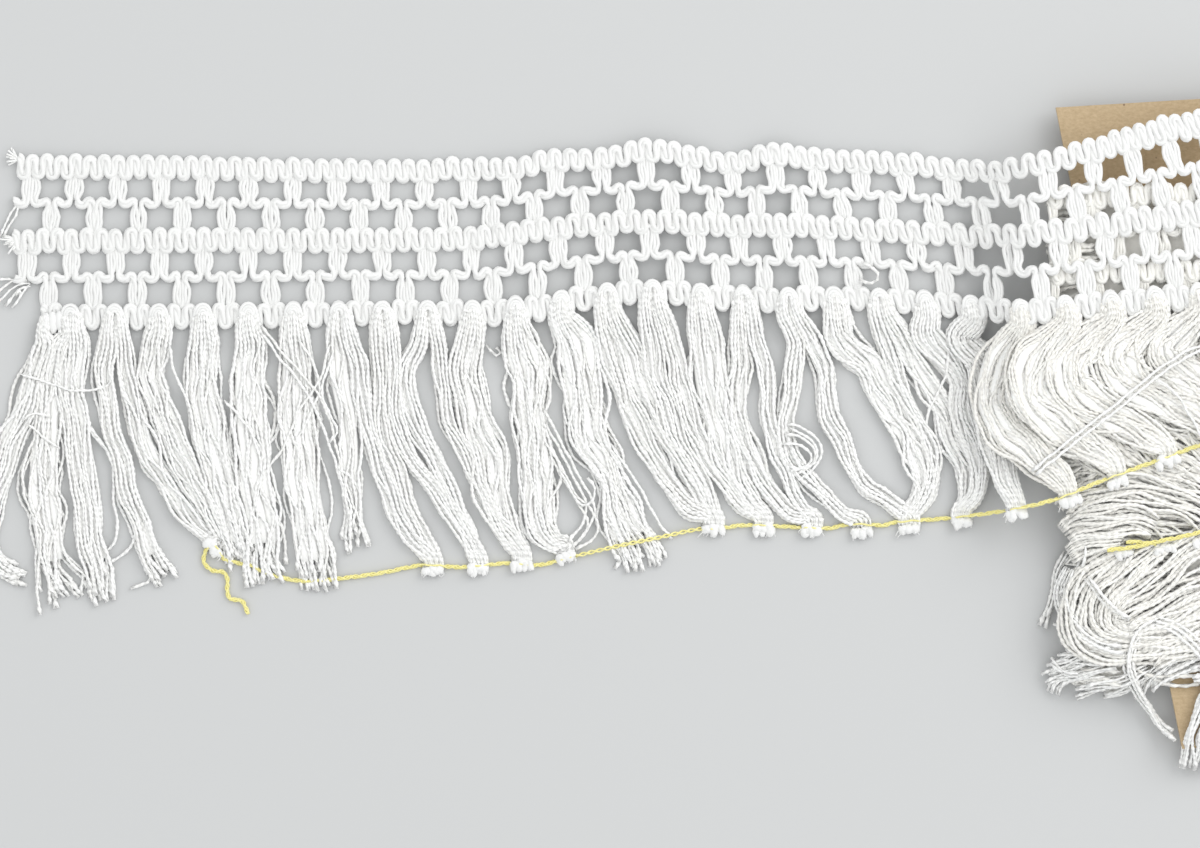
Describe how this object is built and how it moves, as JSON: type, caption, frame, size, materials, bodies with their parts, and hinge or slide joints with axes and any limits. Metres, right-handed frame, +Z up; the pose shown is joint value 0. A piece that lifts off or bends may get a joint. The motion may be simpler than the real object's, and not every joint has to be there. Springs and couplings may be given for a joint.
{
  "type": "chainette fringe trim wound on a card",
  "caption": "Openwork cotton heading of corded bands and bars with hanging yarn locks held by a stitched thread, laid flat at one end and wound on a board card at the other",
  "frame": {"origin": "the centre of the whole part's outline on the surface that it lies on", "axes": "+X along the trim from its loose end to the wound turns, +Y from the fringe to the heading, +Z up from the surface"},
  "size_m": [0.3822, 0.1775, 0.0156],
  "materials": {
    "cotton_cord": "matte white twisted cotton cord",
    "cotton_yarn": "matte white two-ply cotton yarn",
    "yellow_thread": "matte yellow chain-stitched thread",
    "kraft_board": "matte brown recycled board with small dark flecks"
  },
  "bodies": {
    "root": {"heading": "cotton_cord", "fringe": "cotton_yarn", "chain_stitch": "yellow_thread", "wound_turns": "cotton_yarn", "winding_card": "kraft_board"}
  },
  "joints": []
}
